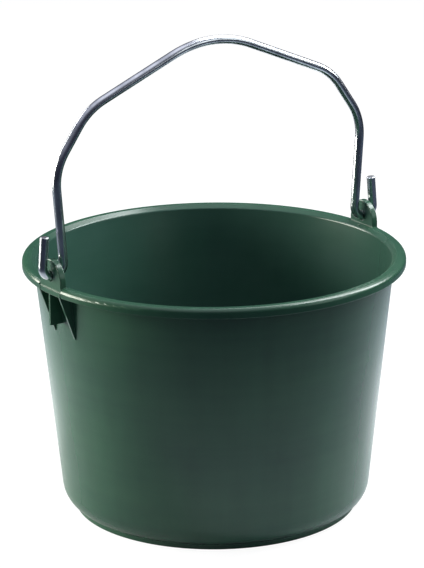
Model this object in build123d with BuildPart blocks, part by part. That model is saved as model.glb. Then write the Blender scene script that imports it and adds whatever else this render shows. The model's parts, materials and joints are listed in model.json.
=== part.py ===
from build123d import *

import os

os.makedirs("parts", exist_ok=True)

# Origin: centre of the foot ring, on the floor. +Z up, the two ears on -X and +X.

# --- tub shell ---
height = 220.0          # floor to the top of the rim
wall = 2.4
wall_top = 152.4        # outside radius of the wall, carried up to the rim's height
wall_foot = 129.6       # the same, carried down to the floor
corner = 20.0           # outside radius, wall to base
base_gap = 1.8          # underside of the base above the floor
foot_outer = 121.0      # foot ring, set in from the corner
foot_inner = 115.5
foot_top_outer = 5.6    # slanted top of the ring, buried in the corner
foot_top_inner = 3.2
foot_ease = 0.8
gate_radius = 14.0      # disc under the middle of the base, where the plastic was fed in
gate_depth = 0.6

# --- rim: a flange over a skirt, open underneath ---
rim_radius = 161.6
rim_wall = 1.8
skirt = 7.8             # height of the skirt, rim top to its bottom edge
rim_round = 4.0         # outer top edge
rim_root = 2.0          # wall to the underside of the flange
band_radius = 153.6     # inner edge of the flat top band
shoulder = 3.2          # depth of the cone from the band down to the wall
edge_ease = 0.4

# --- ears ---
ear_inner = 154.6       # inboard face
ear_outer = 160.0       # outboard face, set in from the skirt
ear_half = 16.0         # half width
ear_spring = 3.0        # where the arch starts, above the rim
ear_top = 21.0          # its top, above the rim
ear_ease = 0.6
lip = 4.0               # skirt left whole below each ear's outboard face
lip_notch = 1.0         # the skirt stops this far short of the ear on each side
pin_height = 7.2        # hinge line above the rim
pin_hole = 9.6

# --- ribs under each ear ---
rib = 1.8
rib_bury = 1.0          # how far a rib runs into the wall and the flange
gusset_offset = 15.5    # the two outer ribs, either side of the middle one
gusset_tip = 174.8      # where a gusset runs out on the wall
stop_foot = 185.3       # bottom edge of the middle, square-ended rib
rib_reach = 161.2       # outboard edge of all three

# --- bail: round wire; widths are out from the middle, heights above the hinge line ---
wire = 7.5
leg_foot = 146.5        # leg, just above its bend into the hole
stub_foot = 167.3       # free end outboard of the ear, just above its bend
stub_top = 164.4
stub_height = 33.5
stub_bend = 7.5
leg_bend = 9.0
knee = (153.0, 87.0)
bow_shoulder = (121.0, 132.5)
crown = 183.2
knee_bend = 47.0
shoulder_bend = 55.0
crown_bend = 100.0
end_chamfer = 0.7

pin_z = height + pin_height
skirt_z = height - skirt
under_rim = height - rim_wall
floor_z = base_gap + wall
spring_z = height + ear_spring
lip_z = skirt_z + lip
recess = rim_radius - ear_outer


def wall_at(z):
    """Outside radius of the wall at a height above the floor."""
    return wall_foot + (wall_top - wall_foot) * z / height


def inside_at(z):
    return wall_at(z) - wall


def ease(sketch, point, radius):
    """Round the corner of a profile that is nearest to a point."""
    fillet(sketch.vertices().sort_by_distance(point)[0], radius)


with BuildPart() as tub:
    with BuildSketch(Plane.XZ) as shell:
        with BuildLine():
            Polyline(
                (0, base_gap),
                (wall_at(base_gap), base_gap),
                (wall_at(under_rim), under_rim),
                (rim_radius - rim_wall, under_rim),
                (rim_radius - rim_wall, skirt_z),
                (rim_radius, skirt_z),
                (rim_radius, height),
                (band_radius, height),
                (inside_at(height - shoulder), height - shoulder),
                (inside_at(floor_z), floor_z),
                (0, floor_z),
                close=True,
            )
        make_face()
        ease(shell, (wall_at(base_gap), base_gap), corner)
        ease(shell, (inside_at(floor_z), floor_z), corner - wall)
        ease(shell, (wall_at(under_rim), under_rim), rim_root)
        ease(shell, (rim_radius - rim_wall, under_rim), rim_round - rim_wall)
        ease(shell, (rim_radius, skirt_z), edge_ease)
        ease(shell, (rim_radius, height), rim_round)
        ease(shell, (band_radius, height), edge_ease)
        ease(shell, (inside_at(height - shoulder), height - shoulder), rim_root)
    revolve(axis=Axis.Z)

    # foot ring, its top buried in the corner
    with BuildSketch(Plane.XZ) as foot:
        with BuildLine():
            Polyline(
                (foot_inner, 0),
                (foot_outer, 0),
                (foot_outer, foot_top_outer),
                (foot_inner, foot_top_inner),
                close=True,
            )
        make_face()
        ease(foot, (foot_outer, 0), foot_ease)
        ease(foot, (foot_inner, 0), foot_ease)
    revolve(axis=Axis.Z)

    # gate mark under the base
    with BuildSketch(Plane.XY.offset(base_gap - gate_depth)):
        Circle(gate_radius)
    extrude(amount=gate_depth)

    # gussets: from under the flange, sloping back to the wall
    with BuildSketch(*[Plane.XZ.offset(y) for y in (-gusset_offset, gusset_offset)]):
        with BuildLine():
            Polyline(
                (wall_at(height) - rib_bury, under_rim + rib_bury),
                (rib_reach, under_rim + rib_bury),
                (rib_reach, skirt_z),
                (wall_at(gusset_tip), gusset_tip),
                (wall_at(gusset_tip) - rib_bury, gusset_tip),
                close=True,
            )
        make_face()
        mirror(about=Plane.YZ)
    extrude(amount=rib / 2, both=True)

    # stacking stop: the square-ended rib in the middle
    with BuildSketch(Plane.XZ):
        with BuildLine():
            Polyline(
                (wall_at(height) - rib_bury, under_rim + rib_bury),
                (rib_reach, under_rim + rib_bury),
                (rib_reach, stop_foot),
                (wall_at(stop_foot) - rib_bury, stop_foot),
                close=True,
            )
        make_face()
        mirror(about=Plane.YZ)
    extrude(amount=rib / 2, both=True)

    # ears: an arch on a root that fills the skirt
    with BuildSketch(Plane.YZ.offset(ear_inner), Plane.YZ.offset(-ear_outer)):
        with BuildLine():
            arch = EllipticalCenterArc(
                (0, spring_z), ear_half, ear_top - ear_spring, arc_size=180
            )
            Polyline(arch @ 1, (-ear_half, skirt_z), (ear_half, skirt_z), arch @ 0)
        make_face()
    extrude(amount=ear_outer - ear_inner)

    # the skirt cut back to each ear's outboard face, down to the lip
    with BuildSketch(Plane.YZ.offset(ear_outer), Plane.YZ.offset(-rim_radius)):
        with Locations((0, lip_z)):
            Rectangle(
                2 * (ear_half + lip_notch),
                height - lip_z,
                align=(Align.CENTER, Align.MIN),
            )
    extrude(amount=recess, mode=Mode.SUBTRACT)

    # eased edges round both faces of each arch
    arch_edges = (
        tub.edges()
        .filter_by_position(Axis.Z, spring_z, height + ear_top)
        .filter_by(Axis.X, reverse=True)
    )
    fillet(arch_edges, ear_ease)

    # hinge holes, one line through both ears
    with BuildSketch(Plane.YZ.offset(-rim_radius - wall)):
        with Locations((0, pin_z)):
            Circle(pin_hole / 2)
    extrude(amount=2 * (rim_radius + wall), mode=Mode.SUBTRACT)

tub.part.label = "tub"
export_step(tub.part, "parts/tub.step")

half_bow = [
    (stub_top, stub_height),
    (stub_foot, 0),
    (leg_foot, 0),
    knee,
    bow_shoulder,
]
half_bends = [stub_bend, leg_bend, knee_bend, shoulder_bend]
bow_points = (
    [(-x, pin_z + h) for x, h in half_bow]
    + [(0, pin_z + crown)]
    + [(x, pin_z + h) for x, h in reversed(half_bow)]
)

with BuildPart() as bail:
    with BuildLine(Plane.XZ) as bow:
        FilletPolyline(
            *bow_points, radius=half_bends + [crown_bend] + half_bends[::-1]
        )
    with BuildSketch(Plane(origin=bow.line @ 0, z_dir=bow.line % 0)):
        Circle(wire / 2)
    sweep()
    chamfer(bail.faces().filter_by(GeomType.PLANE).edges(), end_chamfer)

bail.part.label = "bail"
export_step(bail.part, "parts/bail.step")
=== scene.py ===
import json
from math import cos, pi, radians, sin

import bpy
from mathutils import Euler, Matrix, Vector

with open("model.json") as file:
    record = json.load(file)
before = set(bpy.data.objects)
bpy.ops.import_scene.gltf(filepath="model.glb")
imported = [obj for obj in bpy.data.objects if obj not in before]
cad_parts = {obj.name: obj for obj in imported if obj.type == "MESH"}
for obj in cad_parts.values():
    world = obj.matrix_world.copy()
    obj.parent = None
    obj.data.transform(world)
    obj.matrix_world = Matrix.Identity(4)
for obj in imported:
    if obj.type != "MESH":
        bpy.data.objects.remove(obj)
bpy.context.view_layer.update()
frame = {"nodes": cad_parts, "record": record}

# --- camera: it stands on the -X, -Y side and looks down on the rim ---
AZIMUTH = radians(-33.66)
PITCH = radians(17.03)
ROLL = radians(-0.48)
DISTANCE = 2.274        # from the tub's axis, along the floor
HEIGHT = 0.8885
SIDEWAYS = 0.0019       # to the left of the axis
FOCAL_IN_WIDTHS = 2814.5 / 424
SENSOR = 36.0

# --- softboxes: name, bearing clockwise from straight behind the object, angle above the floor,
# width, height, watts, colour ---
SOFTBOXES = [
    ("left_box", 282, 10, 0.9, 0.62, 30, (1.0, 1.0, 0.88)),
    ("left_back_box", 304, 34, 0.35, 0.35, 3, (1.0, 1.0, 1.0)),
    ("right_box", 70, 44, 0.40, 1.1, 22, (0.94, 1.0, 1.0)),
    ("right_front_box", 110, 24, 0.6, 0.5, 1.5, (0.94, 1.0, 1.0)),
    ("back_box", 25, 50, 0.7, 0.5, 4, (1.0, 1.0, 1.0)),
]
BOX_DISTANCE = 1.25
AIM_HEIGHT = 0.15

# --- the tent around the object: colours from the horizon (0) to straight up (1) ---
TENT = [
    (0.0, (0.030, 0.034, 0.055)),
    (0.30, (0.035, 0.039, 0.060)),
    (0.62, (0.17, 0.18, 0.23)),
    (1.0, (1.0, 1.02, 1.15)),
]

# --- paper floor: a painted pool of light that the floor throws back on the object; colours from near a spot behind the object (0) to far from it (1) ---
FLOOR_REACH = 6.0       # half the floor's width
FLOOR_SPOT = 0.15
FLOOR_NEAR = 0.2
FLOOR_FAR = 0.9
# painted pool of light: bright near the spot, dark away from it
FLOOR_PAINTED_POOL = [
    (0.0, (0.72, 0.74, 0.76)),
    (0.28, (0.40, 0.43, 0.47)),
    (0.7, (0.04, 0.05, 0.07)),
]
PAPER = (0.12, 0.12, 0.12)
PAPER_GLOW = 0.94

# --- plastic ---
PLASTIC_DEEP = (0.017, 0.062, 0.039)
PLASTIC_LIGHT = (0.031, 0.098, 0.054)
# scuff haze with painted sheen: the inside walls paler and bluer
PLASTIC_SCUFF_AND_PAINTED_SHEEN = (0.042, 0.090, 0.080)
# wear with painted highlight: the sharp edges paler in specks
PLASTIC_WEAR_AND_PAINTED_HIGHLIGHT = (0.09, 0.18, 0.14)
STREAK_TINT = [(0.0, (0.85, 0.85, 0.85)), (1.0, (1.15, 1.15, 1.15))]
TURNING_TINT = [(0.0, (0.84, 0.86, 0.90)), (1.0, (1.16, 1.14, 1.10))]
PLASTIC_ROUGHNESS = (0.20, 0.29)
TURNING_ROUGHNESS = 0.01
WORN_ROUGHNESS = 0.2
CLOUD_RELIEF = 0.0002
STREAK_RELIEF = 0.00002
GRAIN_RELIEF = 0.000004
EDGE_RADIUS = 0.0007
EDGE_TO_FLAT = (0.80, 0.99)         # how well the eased and the true normal agree
INSIDE_TO_OUTSIDE = (-0.95, -0.5)   # how far a surface faces away from the tub's axis

# --- wire ---
WIRE_DULL = (0.46, 0.48, 0.52)
WIRE_BRIGHT = (0.80, 0.82, 0.85)
WIRE_SHEARED = (0.30, 0.31, 0.33)
DRAWN_TINT = [(0.3, (0.82, 0.83, 0.85)), (0.7, (1.0, 1.0, 1.0))]
PATCH_ROUGHNESS = (0.22, 0.13)      # dull, bright
DRAWN_ROUGHNESS = 0.05
SHEARED_ROUGHNESS = 0.2
DRAWN_RELIEF = 0.000008
PIT_RELIEF = 0.000004
NOISE_MIDDLE = (0.3, 0.7)           # the part of a noise's range that most of it falls in

# --- the wire's free ends ---
STUB_X = 0.158          # they stand further out than this
STUB_HEIGHT = 0.0335    # their tops, above the hinge line
CUT_STARTS = 0.0009     # the cut face's colour, below the top
CUT_WHOLE = 0.0003

right = Vector((cos(AZIMUTH), sin(AZIMUTH), 0))
toward_camera = Vector((sin(AZIMUTH), -cos(AZIMUTH), 0))
up = Vector((0, 0, 1))
hinge_z = frame["record"]["behaviour"]["joints"][0]["pos_m"][2]


class Graph:
    """The nodes of one material or world, with a short call for each thing that repeats."""

    def __init__(self, owner):
        owner.use_nodes = True
        self.nodes = owner.node_tree.nodes
        self.links = owner.node_tree.links

    def add(self, kind, **settings):
        node = self.nodes.new("ShaderNode" + kind)
        for name, value in settings.items():
            setattr(node, name, value)
        return node

    def feed(self, socket, value):
        """Join a socket to an output, or give it a number, a vector or a colour."""
        if isinstance(value, bpy.types.NodeSocket):
            self.links.new(value, socket)
        elif socket.type == "RGBA":
            socket.default_value = (*value, 1)
        else:
            socket.default_value = value

    def coordinates(self, kind="Object"):
        return self.add("TexCoord").outputs[kind]

    def split(self, vector):
        node = self.add("SeparateXYZ")
        self.feed(node.inputs[0], vector)
        return node.outputs

    def noise(self, place, scale, stretch=(1, 1, 1), detail=3.0):
        """Noise over a place; a small number in stretch draws it out along that axis."""
        mapping = self.add("Mapping")
        self.feed(mapping.inputs["Scale"], stretch)
        self.feed(mapping.inputs["Vector"], place)
        texture = self.add("TexNoise")
        self.feed(texture.inputs["Scale"], scale)
        self.feed(texture.inputs["Detail"], detail)
        self.feed(texture.inputs["Vector"], mapping.outputs["Vector"])
        return texture.outputs["Fac"]

    def spread(self, source, low, high, from_low=0.0, from_high=1.0):
        """A number carried from one range to another, held at both ends."""
        node = self.add("MapRange")
        self.feed(node.inputs["From Min"], from_low)
        self.feed(node.inputs["From Max"], from_high)
        self.feed(node.inputs["To Min"], low)
        self.feed(node.inputs["To Max"], high)
        self.feed(node.inputs["Value"], source)
        return node.outputs["Result"]

    def ramp(self, source, points):
        """Colours over a number; points are (position, colour)."""
        node = self.add("ValToRGB")
        stops = node.color_ramp.elements
        while len(stops) < len(points):
            stops.new(0.5)
        for stop, (position, color) in zip(stops, points):
            stop.position = position
            stop.color = (*color, 1)
        self.feed(node.inputs["Fac"], source)
        return node.outputs["Color"]

    def maths(self, operation, *values):
        node = self.add("Math", operation=operation)
        for socket, value in zip(node.inputs, values):
            self.feed(socket, value)
        return node.outputs[0]

    def vectors(self, operation, output, *values):
        node = self.add("VectorMath", operation=operation)
        for socket, value in zip(node.inputs, values):
            self.feed(socket, value)
        return node.outputs[output]

    def normal(self):
        return self.add("NewGeometry").outputs["Normal"]

    def mix_colors(self, kind, factor, first, second):
        node = self.add("Mix", data_type="RGBA", blend_type=kind)
        factor_socket = node.inputs[0]
        first_color, second_color = [socket for socket in node.inputs if socket.type == "RGBA"]
        self.feed(factor_socket, factor)
        self.feed(first_color, first)
        self.feed(second_color, second)
        return next(socket for socket in node.outputs if socket.type == "RGBA")

    def bump(self, height, depth, under=None):
        """Relief of a depth in metres, laid over another normal."""
        node = self.add("Bump")
        self.feed(node.inputs["Distance"], depth)
        self.feed(node.inputs["Height"], height)
        if under is not None:
            self.feed(node.inputs["Normal"], under)
        return node.outputs["Normal"]

    def shown_and_lit(self, shown, lit):
        """One shader for what the camera sees, another for what lights the object."""
        path = self.add("LightPath")
        mix = self.add("MixShader")
        self.feed(mix.inputs["Fac"], path.outputs["Is Camera Ray"])
        self.feed(mix.inputs[1], lit)
        self.feed(mix.inputs[2], shown)
        return mix.outputs[0]


def link(obj):
    bpy.context.scene.collection.objects.link(obj)
    return obj


def add_camera():
    data = bpy.data.cameras.new("camera")
    data.sensor_fit = "HORIZONTAL"
    data.sensor_width = SENSOR
    data.lens = FOCAL_IN_WIDTHS * SENSOR
    data.clip_start = 0.05
    data.clip_end = 50.0
    camera = link(bpy.data.objects.new("camera", data))
    place = toward_camera * DISTANCE - right * SIDEWAYS + up * HEIGHT
    turn = Euler((pi / 2 - PITCH, 0, AZIMUTH)).to_matrix().to_4x4()
    camera.matrix_world = Matrix.Translation(place) @ turn @ Matrix.Rotation(ROLL, 4, "Z")
    bpy.context.scene.camera = camera
    bpy.context.scene.view_settings.view_transform = "Standard"


def add_softbox(name, bearing, angle, width, height, watts, color):
    """A rectangular lamp that faces the tub; bearing and angle are in degrees."""
    data = bpy.data.lights.new(name, "AREA")
    data.shape = "RECTANGLE"
    data.size = width
    data.size_y = height
    data.energy = watts
    data.color = color
    turn = radians(bearing)
    rise = radians(angle)
    level = right * sin(turn) - toward_camera * cos(turn)
    out = (level * cos(rise) + up * sin(rise)) * BOX_DISTANCE
    light = link(bpy.data.objects.new(name, data))
    light.location = up * AIM_HEIGHT + out
    light.rotation_euler = (-out).to_track_quat("-Z", "Y").to_euler()


def add_tent():
    """Light from all round: dim and bluish near the horizon, bright overhead; white to see."""
    world = bpy.data.worlds.new("studio")
    bpy.context.scene.world = world
    graph = Graph(world)
    graph.nodes.clear()
    out = graph.add("OutputWorld")
    seen = graph.add("Background")
    graph.feed(seen.inputs["Color"], (1, 1, 1))
    lit = graph.add("Background")
    height = graph.split(graph.coordinates("Generated"))["Z"]
    graph.feed(lit.inputs["Color"], graph.ramp(height, TENT))
    graph.feed(out.inputs["Surface"], graph.shown_and_lit(seen.outputs[0], lit.outputs[0]))


def add_floor():
    mesh = bpy.data.meshes.new("floor")
    corners = [(-1, -1), (1, -1), (1, 1), (-1, 1)]
    places = [(x * FLOOR_REACH, y * FLOOR_REACH, 0) for x, y in corners]
    mesh.from_pydata(places, [], [(0, 1, 2, 3)])
    floor = link(bpy.data.objects.new("floor", mesh))
    floor.data.materials.append(floor_material())


def floor_material():
    """White paper. What it throws back on the object fades with distance from a spot behind it: a
    painted pool of light, bright near that spot and dark further away.
    """
    material = bpy.data.materials.new("paper_floor")
    graph = Graph(material)
    graph.nodes.clear()
    out = graph.add("OutputMaterial")
    spot = -toward_camera * FLOOR_SPOT
    away = graph.vectors("DISTANCE", "Value", graph.coordinates(), spot)
    thrown = graph.add("BsdfDiffuse")
    # painted pool of light: the colour for light thrown back is bright near the spot and dark
    # further away
    painted_pool = graph.ramp(graph.spread(away, 0.0, 1.0, FLOOR_NEAR, FLOOR_FAR), FLOOR_PAINTED_POOL)
    graph.feed(thrown.inputs["Color"], painted_pool)
    paper = graph.add("BsdfDiffuse")
    graph.feed(paper.inputs["Color"], PAPER)
    glow = graph.add("Emission")
    graph.feed(glow.inputs["Strength"], PAPER_GLOW)
    shown = graph.add("AddShader")
    graph.feed(shown.inputs[0], paper.outputs[0])
    graph.feed(shown.inputs[1], glow.outputs[0])
    surface = graph.shown_and_lit(shown.outputs[0], thrown.outputs[0])
    graph.feed(out.inputs["Surface"], surface)
    return material


def edge_mask(graph):
    """1 on sharp edges, 0 on flat stretches."""
    rounded = graph.add("Bevel", samples=4)
    graph.feed(rounded.inputs["Radius"], EDGE_RADIUS)
    agree = graph.vectors("DOT_PRODUCT", "Value", rounded.outputs["Normal"], graph.normal())
    return graph.spread(agree, 1.0, 0.0, *EDGE_TO_FLAT)


def inside_mask(graph, place):
    """1 where the surface faces the tub's axis, 0 where it faces out or up."""
    level = graph.vectors("MULTIPLY", "Vector", place, (1, 1, 0))
    outward = graph.vectors("NORMALIZE", "Vector", level)
    facing = graph.vectors("DOT_PRODUCT", "Value", outward, graph.normal())
    return graph.spread(facing, 1.0, 0.0, *INSIDE_TO_OUTSIDE)


def plastic_material():
    """Moulded green plastic: flow streaks, mould turning lines, fine grain, paler speckled edges
    from wear and painted highlight, a paler bluish inside from scuff haze and painted sheen.
    """
    material = bpy.data.materials.new("green_plastic_moulded")
    graph = Graph(material)
    shader = graph.nodes["Principled BSDF"]
    place = graph.coordinates()
    streaks = graph.noise(place, scale=55, stretch=(1, 1, 0.06))
    clouds = graph.noise(place, scale=9, stretch=(1, 1, 1.6), detail=4.0)
    turning = graph.noise(place, scale=9, stretch=(0.10, 0.10, 9), detail=2.0)
    grain = graph.noise(place, scale=800, detail=2.0)
    specks = graph.noise(place, scale=420, detail=1.0)

    color = graph.ramp(clouds, [(0.2, PLASTIC_DEEP), (0.8, PLASTIC_LIGHT)])
    color = graph.mix_colors("MULTIPLY", 1.0, color, graph.ramp(streaks, STREAK_TINT))
    color = graph.mix_colors("MULTIPLY", 1.0, color, graph.ramp(turning, TURNING_TINT))
    # scuff haze with painted sheen: inside walls paler and bluer where the clouds run high
    scuff_and_painted_sheen = graph.maths("MULTIPLY", inside_mask(graph, place), clouds)
    color = graph.mix_colors("MIX", scuff_and_painted_sheen, color, PLASTIC_SCUFF_AND_PAINTED_SHEEN)
    # wear with painted highlight: the sharp edges paler in specks
    wear_and_painted_highlight = graph.maths("MULTIPLY", edge_mask(graph), specks)
    color = graph.mix_colors("MIX", wear_and_painted_highlight, color, PLASTIC_WEAR_AND_PAINTED_HIGHLIGHT)
    graph.feed(shader.inputs["Base Color"], color)

    roughness = graph.spread(clouds, *PLASTIC_ROUGHNESS)
    turned = graph.spread(turning, -TURNING_ROUGHNESS, TURNING_ROUGHNESS)
    roughness = graph.maths("ADD", roughness, turned)
    rubbed = graph.maths("MULTIPLY", wear_and_painted_highlight, WORN_ROUGHNESS)
    roughness = graph.maths("ADD", roughness, rubbed)
    graph.feed(shader.inputs["Roughness"], roughness)

    relief = graph.bump(clouds, CLOUD_RELIEF)
    relief = graph.bump(streaks, STREAK_RELIEF, under=relief)
    relief = graph.bump(grain, GRAIN_RELIEF, under=relief)
    graph.feed(shader.inputs["Normal"], relief)
    return material


def sheared_ends(graph, place):
    """1 on the cut faces at the tops of the bail's free ends, 0 elsewhere."""
    axes = graph.split(place)
    outboard = graph.maths("GREATER_THAN", graph.maths("ABSOLUTE", axes["X"]), STUB_X)
    end_z = hinge_z + STUB_HEIGHT
    top = graph.spread(axes["Z"], 0.0, 1.0, end_z - CUT_STARTS, end_z - CUT_WHOLE)
    return graph.maths("MULTIPLY", outboard, top)


def wire_material():
    """Bright plated wire: lines drawn along it, dull patches, darker sheared ends."""
    material = bpy.data.materials.new("plated_wire_drawn")
    graph = Graph(material)
    shader = graph.nodes["Principled BSDF"]
    place = graph.coordinates()
    # the bow lies in one plane, so a line drawn along the wire keeps its distance from that plane
    drawn = graph.noise(place, scale=12, stretch=(0.6, 260, 0.6), detail=2.0)
    patches = graph.noise(place, scale=70, detail=4.0)
    pits = graph.noise(place, scale=900, detail=1.0)
    sheared = sheared_ends(graph, place)

    color = graph.ramp(patches, [(0.3, WIRE_DULL), (0.6, WIRE_BRIGHT)])
    color = graph.mix_colors("MULTIPLY", 1.0, color, graph.ramp(drawn, DRAWN_TINT))
    color = graph.mix_colors("MIX", sheared, color, WIRE_SHEARED)
    graph.feed(shader.inputs["Base Color"], color)
    graph.feed(shader.inputs["Metallic"], 1.0)

    roughness = graph.spread(patches, *PATCH_ROUGHNESS, *NOISE_MIDDLE)
    lines = graph.spread(drawn, DRAWN_ROUGHNESS, 0.0, *NOISE_MIDDLE)
    roughness = graph.maths("ADD", roughness, lines)
    cut = graph.maths("MULTIPLY", sheared, SHEARED_ROUGHNESS)
    roughness = graph.maths("ADD", roughness, cut)
    graph.feed(shader.inputs["Roughness"], roughness)

    relief = graph.bump(drawn, DRAWN_RELIEF)
    relief = graph.bump(pits, PIT_RELIEF, under=relief)
    graph.feed(shader.inputs["Normal"], relief)
    return material


add_camera()
add_tent()
for softbox in SOFTBOXES:
    add_softbox(*softbox)
add_floor()
frame["nodes"]["tub"].material_slots[0].material = plastic_material()
frame["nodes"]["bail"].material_slots[0].material = wire_material()
